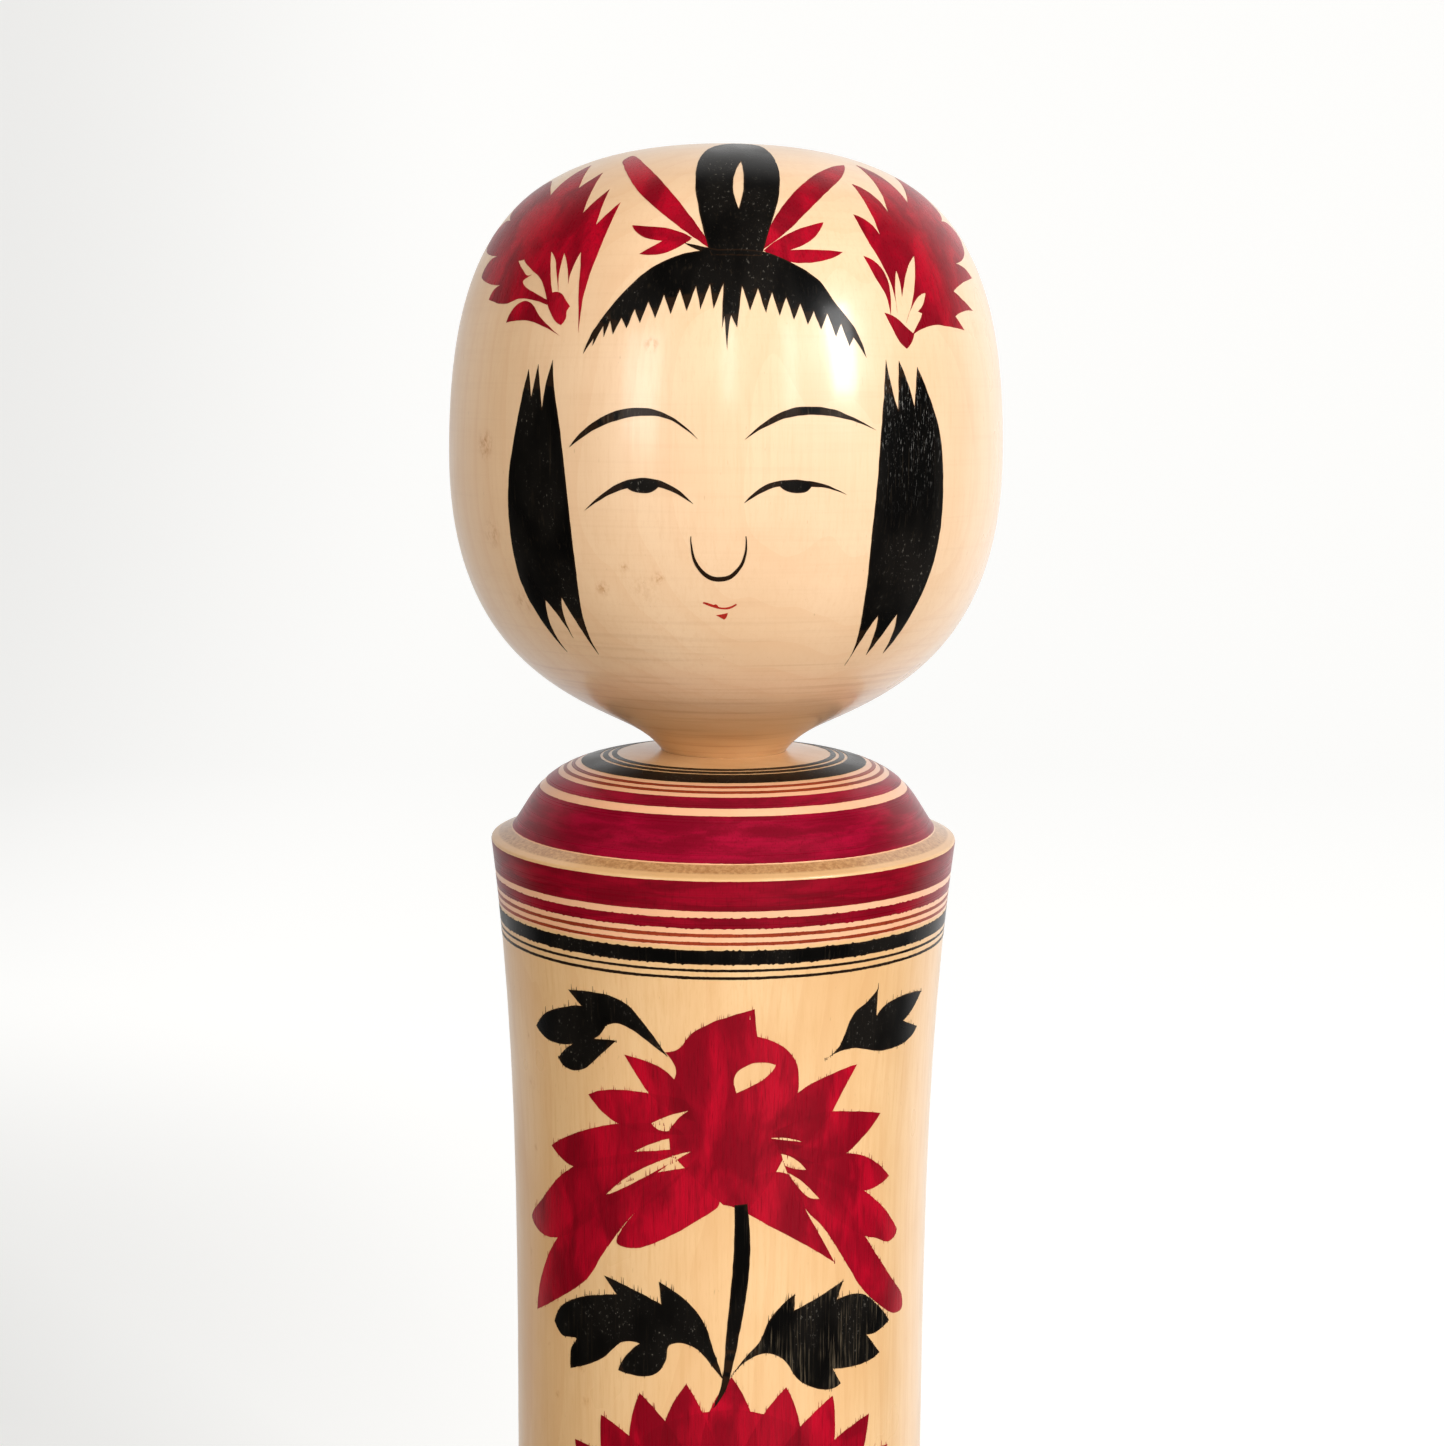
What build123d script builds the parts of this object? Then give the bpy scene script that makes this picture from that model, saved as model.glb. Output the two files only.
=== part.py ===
from build123d import *
import os

# A kokeshi doll: two pieces turned on a lathe from pale, close-grained wood.
# The head has a short flared neck and a tenon with a swollen tip. The tenon is snapped into an
# undercut socket in the body, so the head stays on and can be turned round and round.
#
# Millimetres. +Z runs up the turning axis, the origin is the centre of the flat base,
# the painted face looks along -Y and +X is on the viewer's right.

# ---- driving dimensions: heights above the table ----
total_height = 303.0  # one shaku, the usual size for a doll with two flower heads
head_widest_height = 252.2
chin_height = 208.4  # where the round underside of the head turns into the neck
shoulder_height = 203.2  # top of the body, where the neck goes in
ledge_inner_height = 190.3  # foot of the dome
ledge_outer_height = 188.7  # the unpainted ledge falls a little towards the rim
waist_height = 90.0

# ---- driving dimensions: radii ----
head_radius = 45.9
chin_radius = 17.4
neck_radius = 10.5
ledge_inner_radius = 35.9
rim_radius = 39.4
waist_radius = 35.4
base_radius = 38.4

# ---- how full the curves are: handle lengths as a share of the quarter they round off ----
crown_fullness = 0.74
jaw_fullness = 0.72

# ---- the underside of the head runs into the neck at this slope ----
chin_slope = 26.0  # degrees above the horizontal
chin_handle = 11.3
neck_handle = 4.4

# ---- the dome is flat round the neck and steep at its foot ----
dome_top_slope = -2.5  # degrees
dome_top_handle = 21.2
dome_foot_slope = 53.0  # degrees
dome_foot_handle = 7.3

# ---- the snap joint ----
running_clearance = 0.06  # gap all round between the tenon and the socket
tenon_length = 18.0
lip_length = 7.0  # plain stretch of the socket's mouth, above the undercut
bead_radius = 11.3  # the swollen tip of the tenon, wider than the socket's mouth
bead_length = 4.0  # from the end of the plain stretch to the widest place
tip_radius = 9.4
bead_clearance = 0.10
end_play = 0.25  # gap under the tenon's tip
undercut_length = 2.5  # cone that opens the mouth out to the undercut

# ---- small rounded edges ----
rim_rounding = 0.5
base_rounding = 1.0

# ---- marks that the lathe's claw chuck leaves in the underside ----
claw_count = 4
claw_circle_radius = 13.0
claw_length = 7.0
claw_width = 0.9
claw_depth = 1.6
centre_mark_radius = 1.2
centre_mark_depth = 1.8


def turned(outline):
    """A solid of revolution from a closed outline of (radius, height) curves."""
    return revolve(make_face(Plane.XZ * outline), Axis.Z)


def along(start, length, slope):
    """The point a length away from the start, at a slope in degrees above the horizontal."""
    return Vector(*start) + Vector(length, 0).rotate(Axis.Z, slope)


def head_outline():
    """Crown, jaw and neck as three smooth curves, then the tenon down to its tip."""
    crown = (0, total_height)
    widest = (head_radius, head_widest_height)
    chin = (chin_radius, chin_height)
    neck_foot = (neck_radius, shoulder_height)

    crown_rise = total_height - head_widest_height
    crown_curve = Bezier(
        crown,
        (head_radius * crown_fullness, total_height),
        (head_radius, head_widest_height + crown_rise * crown_fullness),
        widest,
    )
    jaw_drop = head_widest_height - chin_height
    jaw_curve = Bezier(
        widest,
        (head_radius, head_widest_height - jaw_drop * jaw_fullness),
        along(chin, chin_handle, chin_slope),
        chin,
    )
    neck_drop = chin_height - shoulder_height
    neck_curve = Bezier(
        chin,
        along(chin, -neck_handle, chin_slope),
        (neck_radius + neck_drop / 4, shoulder_height + neck_drop / 3),
        neck_foot,
    )

    lip_end = shoulder_height - lip_length
    bead_height = lip_end - bead_length
    tip_height = shoulder_height - tenon_length
    shank = Line(neck_foot, (neck_radius, lip_end))
    bead_top = Line((neck_radius, lip_end), (bead_radius, bead_height))
    bead_foot = Line((bead_radius, bead_height), (tip_radius, tip_height))
    tip = Line((tip_radius, tip_height), (0, tip_height))
    axis_line = Line((0, tip_height), crown)
    return crown_curve + jaw_curve + neck_curve + shank + bead_top + bead_foot + tip + axis_line


def body_outline():
    """The socket, the dome, the raw ledge, the waisted side and the flat base."""
    mouth_radius = neck_radius + running_clearance
    mouth = (mouth_radius, shoulder_height)
    lip_end = shoulder_height - lip_length
    undercut_radius = bead_radius + bead_clearance
    undercut_height = lip_end - undercut_length
    floor_height = shoulder_height - tenon_length - end_play

    ledge_inner = (ledge_inner_radius, ledge_inner_height)
    rim = (rim_radius, ledge_outer_height)
    waist = (waist_radius, waist_height)
    base_edge = (base_radius, 0)

    floor = Line((0, floor_height), (undercut_radius, floor_height))
    undercut_wall = Line((undercut_radius, floor_height), (undercut_radius, undercut_height))
    undercut_cone = Line((undercut_radius, undercut_height), (mouth_radius, lip_end))
    mouth_wall = Line((mouth_radius, lip_end), mouth)
    dome = Bezier(
        mouth,
        along(mouth, dome_top_handle, dome_top_slope),
        along(ledge_inner, -dome_foot_handle, -dome_foot_slope),
        ledge_inner,
    )
    ledge = Line(ledge_inner, rim)
    upper_third = (ledge_outer_height - waist_height) / 3
    lower_third = waist_height / 3
    upper_side = Bezier(
        rim,
        (waist_radius, ledge_outer_height - upper_third),
        (waist_radius, waist_height + upper_third),
        waist,
    )
    lower_side = Bezier(
        waist,
        (waist_radius, waist_height - lower_third),
        (waist_radius, lower_third),
        base_edge,
    )
    base = Line(base_edge, (0, 0))
    axis_line = Line((0, 0), (0, floor_height))
    socket = floor + undercut_wall + undercut_cone + mouth_wall
    return socket + dome + ledge + upper_side + lower_side + base + axis_line


def claw_marks():
    """Slits in a ring, one for each claw of the chuck, and the prick of its centre point."""
    slit = Box(claw_width, claw_length, 2 * claw_depth)
    marks = [Cylinder(centre_mark_radius, 2 * centre_mark_depth)]
    for number in range(claw_count):
        turn = Rot(0, 0, 360 / claw_count * (number + 0.5))
        marks.append(turn * Pos(claw_circle_radius, 0, 0) * slit)
    return marks


def make_head():
    """The head, its neck and its tenon, turned from one billet."""
    return turned(head_outline())


def ease(piece, radius, height, rounding):
    """Round off the turned edge that has this radius at this height."""
    circles = piece.edges().filter_by(GeomType.CIRCLE)
    edge = min(circles, key=lambda e: abs(e.radius - radius) + abs(e.center().Z - height))
    return fillet(edge, rounding)


def make_body():
    """The body, with its rim and its base edge eased and the chuck's marks cut in."""
    body = turned(body_outline())
    body = ease(body, rim_radius, ledge_outer_height, rim_rounding)
    body = ease(body, base_radius, 0, base_rounding)
    for mark in claw_marks():
        body -= mark
    return body


os.makedirs("parts", exist_ok=True)
pieces = {"head": make_head(), "body": make_body()}
for name, piece in pieces.items():
    piece.label = name
    export_step(piece, f"parts/{name}.step")
    size = piece.bounding_box().size
    print(name, f"{size.X:.1f} x {size.Y:.1f} x {size.Z:.1f} mm, {piece.volume / 1000:.0f} cm3")
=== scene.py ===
"""The looks of a turned and painted kokeshi doll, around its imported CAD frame.

The head and the body are the CAD nodes, which get procedural wood. The painting is made here: each
painted group is a thin closed skin of dye or ink that lies on the wood and rides on the piece it is
painted on. Lengths are millimetres until place_mesh() turns them into metres; the stage, the lights
and the camera are in metres throughout.
"""

import math
import random

import bpy
import numpy as np
from mathutils import Matrix, Vector, kdtree, noise
from mathutils.geometry import delaunay_2d_cdt


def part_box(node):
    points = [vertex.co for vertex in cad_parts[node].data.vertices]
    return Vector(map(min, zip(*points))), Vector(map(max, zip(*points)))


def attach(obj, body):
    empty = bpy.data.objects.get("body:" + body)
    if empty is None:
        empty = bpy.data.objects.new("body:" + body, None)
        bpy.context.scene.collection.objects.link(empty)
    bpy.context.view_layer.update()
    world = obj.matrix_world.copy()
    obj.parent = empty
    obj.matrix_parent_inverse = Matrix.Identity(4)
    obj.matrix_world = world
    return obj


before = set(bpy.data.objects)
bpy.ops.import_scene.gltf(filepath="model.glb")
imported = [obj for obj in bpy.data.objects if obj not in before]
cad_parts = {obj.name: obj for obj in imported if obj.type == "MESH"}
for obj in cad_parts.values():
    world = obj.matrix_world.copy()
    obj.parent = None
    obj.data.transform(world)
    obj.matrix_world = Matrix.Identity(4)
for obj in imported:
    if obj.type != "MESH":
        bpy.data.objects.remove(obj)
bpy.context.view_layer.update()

MM = 0.001

noise.seed_set(7)  # noise_vector() would otherwise take its offsets from the clock

# ---- the outline of the turning, as the CAD draws it: heights above the table, and radii ----
head_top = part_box("head")[1].z / MM
head_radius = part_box("head")[1].x / MM
head_widest_height = 252.2
chin_height = 208.4
chin_radius = 17.4
chin_slope = 26.0
neck_radius = 10.5
shoulder_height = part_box("body")[1].z / MM
socket_clearance = 0.06
ledge_inner_height = 190.3
ledge_inner_radius = 35.9
rim_height = 188.7
rim_radius = 39.4
rim_edge = 0.36  # where the rounded rim leaves the ledge and the side
waist_height = 90.0
waist_radius = 35.4
base_radius = 38.4

# ---- the skins of paint ----
dye_lift = 0.035  # how far the dye's face stands off the wood
ink_lift = 0.05  # the ink goes on last, so it stands a little higher
film_depth = 0.12  # how far its underside goes into the wood
outline_step = 0.35  # spacing of the points along a painted edge
inner_step = 1.1  # spacing of the points inside a painted shape
edge_wobble = 0.07  # how unsteady the hand is
wobble_pace = 0.7  # how fast the unsteadiness changes along an edge, in turns per millimetre
ring_points = 720  # points around a painted ring
ring_step = 0.8  # spacing of the rows across a painted ring

# ---- how the flat drawings are wrapped round the wood ----
head_wrap_radius = 46.0  # the head's drawing is laid on as if from the middle of the face outwards
body_wrap_radius = 36.0  # the body's drawing is rolled round at this radius
lower_flower_drop = -58.0  # how far the second flower, its stem and leaves lie below the first


# ------------------------------------------------------------------ turned surfaces


def bezier(start, start_handle, end_handle, end, steps=160):
    """Points of a cubic Bezier curve in the (radius, height) plane."""
    a, b, c, d = (np.array(p, float) for p in (start, start_handle, end_handle, end))
    t = np.linspace(0, 1, steps)[:, None]
    return (1 - t) ** 3 * a + 3 * (1 - t) ** 2 * t * b + 3 * (1 - t) * t**2 * c + t**3 * d


def along(start, length, slope):
    """The point a length away from the start, at a slope in degrees above the horizontal."""
    angle = math.radians(slope)
    return (start[0] + length * math.cos(angle), start[1] + length * math.sin(angle))


def chained(*curves):
    """Curves joined end to end, without the points they share."""
    return np.concatenate([curves[0]] + [curve[1:] for curve in curves[1:]])


def head_outline():
    """Crown, jaw and neck, from the top down."""
    widest = (head_radius, head_widest_height)
    chin = (chin_radius, chin_height)
    rise = head_top - head_widest_height
    drop = head_widest_height - chin_height
    neck_drop = chin_height - shoulder_height
    crown_fullness = 0.74
    jaw_fullness = 0.72
    crown = bezier(
        (0, head_top),
        (head_radius * crown_fullness, head_top),
        (head_radius, head_widest_height + rise * crown_fullness),
        widest,
    )
    jaw = bezier(
        widest,
        (head_radius, head_widest_height - drop * jaw_fullness),
        along(chin, 11.3, chin_slope),
        chin,
    )
    neck = bezier(
        chin,
        along(chin, -4.4, chin_slope),
        (neck_radius + neck_drop / 4, shoulder_height + neck_drop / 3),
        (neck_radius, shoulder_height),
    )
    return chained(crown, jaw, neck)


def body_outline():
    """Dome, ledge and waisted side, from the neck down to the table."""
    mouth = (neck_radius + socket_clearance, shoulder_height)
    ledge_inner = (ledge_inner_radius, ledge_inner_height)
    rim = (rim_radius, rim_height)
    waist = (waist_radius, waist_height)
    upper_third = (rim_height - waist_height) / 3
    lower_third = waist_height / 3
    dome = bezier(mouth, along(mouth, 21.2, -2.5), along(ledge_inner, -7.3, -53), ledge_inner)
    ledge_fall = rim_height - ledge_inner_height
    ledge_slope = math.degrees(math.atan2(ledge_fall, rim_radius - ledge_inner_radius))
    side_slope = math.degrees(math.atan2(-upper_third, waist_radius - rim_radius))
    rim_start = along(rim, -rim_edge, ledge_slope)
    rim_end = along(rim, rim_edge, side_slope)
    ledge = np.linspace(ledge_inner, rim_start, 20)
    rounded_rim = bezier(
        rim_start,
        along(rim, -rim_edge * 0.4, ledge_slope),
        along(rim, rim_edge * 0.4, side_slope),
        rim_end,
        steps=12,
    )
    upper_side = bezier(
        rim_end,
        (waist_radius, rim_height - upper_third),
        (waist_radius, waist_height + upper_third),
        waist,
    )
    lower_side = bezier(
        waist,
        (waist_radius, waist_height - lower_third),
        (waist_radius, lower_third),
        (base_radius, 0),
    )
    return chained(dome, ledge, rounded_rim, upper_side, lower_side)


class Turned:
    """A surface of revolution about +Z, from its outline of (radius, height) points, top first."""

    def __init__(self, outline):
        self.radius, self.height = outline.T
        gaps = np.hypot(np.diff(self.radius), np.diff(self.height))
        self.travel = np.concatenate([[0], np.cumsum(gaps)])
        tangent = np.gradient(outline, self.travel, axis=0)
        self.outward = np.stack([-tangent[:, 1], tangent[:, 0]], 1)

    def at(self, travel, azimuth, lift):
        """Points and outward normals at a travel down the outline; azimuth 0 faces -Y."""
        radius = np.interp(travel, self.travel, self.radius)
        height = np.interp(travel, self.travel, self.height)
        out_radius = np.interp(travel, self.travel, self.outward[:, 0])
        out_height = np.interp(travel, self.travel, self.outward[:, 1])
        length = np.hypot(out_radius, out_height)
        out_radius, out_height = out_radius / length, out_height / length
        sine, cosine = np.sin(azimuth), -np.cos(azimuth)
        ring = radius + lift * out_radius
        points = np.stack([ring * sine, ring * cosine, height + lift * out_height], 1)
        normals = np.stack([out_radius * sine, out_radius * cosine, out_height], 1)
        return points, normals

    def travel_at_height(self, height):
        return np.interp(-np.asarray(height), -self.height, self.travel)

    def travel_at_radius(self, radius):
        """Where the surface first reaches a radius, on its way down from the top."""
        widest = np.argmax(self.radius)
        return np.interp(radius, self.radius[: widest + 1], self.travel[: widest + 1])


head_surface = Turned(head_outline())
body_surface = Turned(body_outline())


def on_head(flat, lift):
    """Lays the head's flat drawing on: (0, 0) is the middle of the face, at the head's widest."""
    right, up = flat.T
    reach = np.hypot(right, up)
    angle = reach / head_wrap_radius
    share = np.sin(angle) / np.maximum(reach, 1e-9)
    azimuth = np.arctan2(right * share, np.cos(angle))
    elevation = np.arcsin(np.clip(up * share, -1, 1))
    rise = head_surface.height - head_widest_height
    outline_elevation = np.arctan2(rise, head_surface.radius)
    travel = np.interp(-elevation, -outline_elevation, head_surface.travel)
    return head_surface.at(travel, azimuth, lift)


def on_body(flat, lift):
    """Rolls the body's flat drawing round the side: across is an arc, up is the height."""
    travel = body_surface.travel_at_height(flat[:, 1])
    return body_surface.at(travel, flat[:, 0] / body_wrap_radius, lift)


def round_body(flat, lift):
    """Places a ring's strip: across is an azimuth, up is minus the travel down the outline."""
    return body_surface.at(-flat[:, 1], flat[:, 0], lift)


# ------------------------------------------------------------------ drawing


def bend(points):
    """Close points on a smooth curve through the given ones, without the last."""
    points = np.array(points, float)
    gaps = np.linalg.norm(np.diff(points[:, :2], axis=0), axis=1)
    if len(points) == 2:
        steps = max(1, math.ceil(gaps[0] / outline_step))
        return np.linspace(points[0], points[1], steps, endpoint=False)
    knots = np.concatenate([[0], np.cumsum(np.sqrt(gaps))])
    slopes = np.gradient(points, knots, axis=0, edge_order=2)
    curve = []
    for k, gap in enumerate(gaps):
        steps = max(1, math.ceil(gap / outline_step))
        t = (np.arange(steps) / steps)[:, None]
        span = knots[k + 1] - knots[k]
        curve.append(
            (2 * t**3 - 3 * t**2 + 1) * points[k]
            + (t**3 - 2 * t**2 + t) * span * slopes[k]
            + (3 * t**2 - 2 * t**3) * points[k + 1]
            + (t**3 - t**2) * span * slopes[k + 1]
        )
    return np.concatenate(curve)


def shape(*runs):
    """A closed outline: each run starts at a corner and bends through its points to the next run."""
    ends = [run[0] for run in runs[1:]] + [runs[0][0]]
    return np.concatenate([bend([*run, end]) for run, end in zip(runs, ends)])


def brush(*points):
    """The outline of one brush stroke along a smooth line of (across, up, width) points."""
    line = np.concatenate([bend(points), [points[-1]]])
    direction = np.gradient(line[:, :2], axis=0)
    direction /= np.linalg.norm(direction, axis=1, keepdims=True)
    side = np.stack([-direction[:, 1], direction[:, 0]], 1) * line[:, 2:] / 2
    outline = np.concatenate([line[:, :2] + side, (line[:, :2] - side)[::-1]])
    following = np.roll(outline, -1, axis=0)
    return outline[np.linalg.norm(following - outline, axis=1) > 0.01]


def petal(root, tip, width, lean):
    """A pointed petal from its root to its tip; lean pushes its middle to one side."""
    widest_at = 0.55  # as a share of the petal's length
    root, tip = np.array(root, float), np.array(tip, float)
    length = np.linalg.norm(tip - root)
    side = np.array([root[1] - tip[1], tip[0] - root[0]]) / length
    belly = root + (tip - root) * widest_at + side * lean
    return shape([root, belly - side * width / 2], [tip, belly + side * width / 2])


def moved(outline, up):
    """The same outline, further up or down the body."""
    return outline + np.array([0, up])


def unsteady(outline, seed):
    """The outline as an unsteady hand draws it."""
    spots = [Vector((x * wobble_pace, y * wobble_pace, seed)) for x, y in outline]
    shifts = [noise.noise_vector(spot)[:2] for spot in spots]
    return outline + edge_wobble * np.array(shifts)


def anticlockwise(outline):
    x, y = outline.T
    area = np.dot(x, np.roll(y, -1)) - np.dot(y, np.roll(x, -1))
    return outline if area > 0 else outline[::-1]


def bleed(outline, rate, rng, bare=False):
    """Slivers of colour that ran up and down the fibres from the edges of an outline."""
    overlap = 0.25  # how far a sliver's foot lies inside the colour
    slivers = []
    around = anticlockwise(outline)
    for (x, y), (next_x, next_y) in zip(around, np.roll(around, -1, axis=0)):
        run = next_x - x
        upward = run > 0 if bare else run < 0
        steep = abs(next_y - y) > 3 * abs(run)
        chance = abs(run) * rate * (1.0 if upward else 0.35)
        if steep or rng.random() > chance:
            continue
        length = 0.10 + (1.1 if upward else 0.5) * rng.random() ** 3
        width = rng.uniform(0.10, 0.22)
        drift = rng.uniform(-0.06, 0.06)
        foot = y - overlap if upward else y + overlap
        end = y + length if upward else y - length
        sliver = np.array([(x - width / 2, foot), (x + width / 2, foot), (x + drift, end)])
        slivers.append(anticlockwise(sliver))
    return slivers


# ------------------------------------------------------------------ skins of paint


def boundary_of(faces):
    """The directed edges that only one face uses."""
    edges = {(face[k - 1], face[k]) for face in faces for k in range(len(face))}
    return [edge for edge in edges if edge[::-1] not in edges]


def place_mesh(name, points, faces, normals):
    """A smooth-shaded mesh object from points in millimetres and one normal for each face corner."""
    mesh = bpy.data.meshes.new(name)
    mesh.from_pydata((points * MM).tolist(), [], faces)
    mesh.polygons.foreach_set("use_smooth", [True] * len(faces))
    mesh.normals_split_custom_set(normals)
    piece = bpy.data.objects.new(name, mesh)
    bpy.context.scene.collection.objects.link(piece)
    return piece


def skin(name, flat, faces, coats, lay, lift):
    """A thin closed skin: its face just off the wood, its underside in it, and the edge between."""
    outer, outward = lay(flat, lift)
    inner, _ = lay(flat, -film_depth)
    boundary = boundary_of(faces)
    count = len(flat)
    backs = [[k + count for k in reversed(face)] for face in faces]
    rims = [(b, a, a + count, b + count) for a, b in boundary]
    points = np.concatenate([outer, inner])

    normals = [tuple(outward[k]) for face in faces for k in face]
    normals += [tuple(-outward[k - count]) for face in backs for k in face]
    for rim in rims:
        across = np.cross(points[rim[1]] - points[rim[0]], points[rim[2]] - points[rim[0]])
        normals += [tuple(across / max(np.linalg.norm(across), 1e-9))] * 4

    piece = place_mesh(name, points, [*faces, *backs, *rims], normals)
    edge_points = sorted({k for edge in boundary for k in edge})
    tree = kdtree.KDTree(len(edge_points))
    for k in edge_points:
        tree.insert(Vector(outer[k]), k)
    tree.balance()
    reach = [tree.find(Vector(point))[2] for point in outer]
    from_edge = piece.data.attributes.new("from_edge", "FLOAT", "POINT")
    from_edge.data.foreach_set("value", [*reach, *reach])
    layers = piece.data.attributes.new("coats", "FLOAT", "FACE")
    layers.data.foreach_set("value", [*coats, *coats, *[1.0] * len(rims)])
    return piece


def inside(outline, points):
    """Which of the points an outline goes round."""
    start, end = outline, np.roll(outline, -1, axis=0)
    x, y = points[:, :1], points[:, 1:]
    side = (end[:, 0] - start[:, 0]) * (y - start[:, 1]) - (x - start[:, 0]) * (end[:, 1] - start[:, 1])
    upward = (start[:, 1] <= y) & (end[:, 1] > y) & (side > 0)
    downward = (start[:, 1] > y) & (end[:, 1] <= y) & (side < 0)
    return upward.sum(1) != downward.sum(1)


def filling(outlines):
    """Staggered points to fill the outlines, clear of their edges."""
    edge = kdtree.KDTree(sum(len(outline) for outline in outlines))
    for outline in outlines:
        for x, y in outline:
            edge.insert(Vector((x, y, 0)), 0)
    edge.balance()
    low = np.min([outline.min(0) for outline in outlines], axis=0)
    high = np.max([outline.max(0) for outline in outlines], axis=0)
    points = []
    row_step = inner_step * math.sqrt(3) / 2
    for row in range(int((high[1] - low[1]) / row_step) + 1):
        y = low[1] + row * row_step
        stagger = inner_step / 2 * (row % 2)
        for column in range(int((high[0] - low[0]) / inner_step) + 1):
            x = low[0] + column * inner_step + stagger
            if edge.find(Vector((x, y, 0)))[2] > inner_step * 0.45:
                points.append((x, y))
    return points


def painted(name, body, finish, strokes, bare=(), bleeding=0.0, seed=1):
    """Strokes of one colour that overlap into one skin, with gaps left bare."""
    lay = on_head if body == "head" else on_body
    rng = random.Random(seed)
    strokes = [anticlockwise(unsteady(outline, seed)) for outline in strokes]
    bare = [anticlockwise(unsteady(outline, seed)) for outline in bare]
    slivers = []
    if bleeding:
        for outline in strokes:
            slivers += bleed(outline, bleeding, rng)
        for outline in bare:
            slivers += bleed(outline, bleeding, rng, bare=True)

    outlines = [*strokes, *slivers, *bare]
    corners, edges = [], []
    for outline in outlines:
        first, count = len(corners), len(outline)
        edges += [(first + k, first + (k + 1) % count) for k in range(count)]
        corners += [Vector(point) for point in outline]
    corners += [Vector(point) for point in filling([*strokes, *bare])]
    flat, _, triangles, _, _, _ = delaunay_2d_cdt(corners, edges, [], 0, 1e-5)

    flat = np.array([tuple(point) for point in flat])
    middles = flat[np.array(triangles)].mean(1)
    layers = sum(inside(outline, middles).astype(int) for outline in strokes)
    in_sliver = sum((inside(outline, middles) for outline in slivers), np.zeros(len(middles), bool))
    left_bare = sum((inside(outline, middles) for outline in bare), np.zeros(len(middles), bool))
    kept = in_sliver | ((layers > 0) & ~left_bare)
    faces = [list(triangles[k]) for k in np.flatnonzero(kept)]
    coats = [float(max(count, 1)) for count in layers[kept]]
    used = sorted({k for face in faces for k in face})
    place = {old: new for new, old in enumerate(used)}
    faces = [[place[k] for k in face] for face in faces]
    finished(skin(name, flat[used], faces, coats, lay, finish[2]), body, finish)


def ring(name, finish, start, end, bristle=0.0, seed=1):
    """A band painted while the body turns; bristle is how far its edges run along the fibres."""
    rows = max(2, math.ceil((end - start) / ring_step) + 1)
    azimuths = np.arange(ring_points) * 2 * math.pi / ring_points
    rng = random.Random(seed)
    flat = []
    for row, travel in enumerate(np.linspace(start, end, rows)):
        for azimuth in azimuths:
            tremble = 0.0
            if row in (0, rows - 1):
                spot = Vector((6 * math.cos(azimuth), 6 * math.sin(azimuth), seed + row))
                tremble = 0.05 * noise.noise(spot) + 0.04 * noise.noise(spot * 9)
                if bristle and rng.random() < 0.5:
                    tremble += (bristle if row else -bristle) * rng.random() ** 2
            flat.append((azimuth, -(travel + tremble)))
    faces = []
    for row in range(rows - 1):
        for k in range(ring_points):
            across = (k + 1) % ring_points
            top, bottom = row * ring_points, (row + 1) * ring_points
            faces.append([bottom + k, bottom + across, top + across, top + k])
    coats = [1.0] * len(faces)
    finished(skin(name, np.array(flat), faces, coats, round_body, finish[2]), "body", finish)


def finished(piece, body, finish):
    """Gives a piece its material, and lets it ride on its CAD body."""
    material, slot, _ = finish
    piece.data.materials.append(material)
    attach(piece, body)


# ------------------------------------------------------------------ materials


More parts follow.
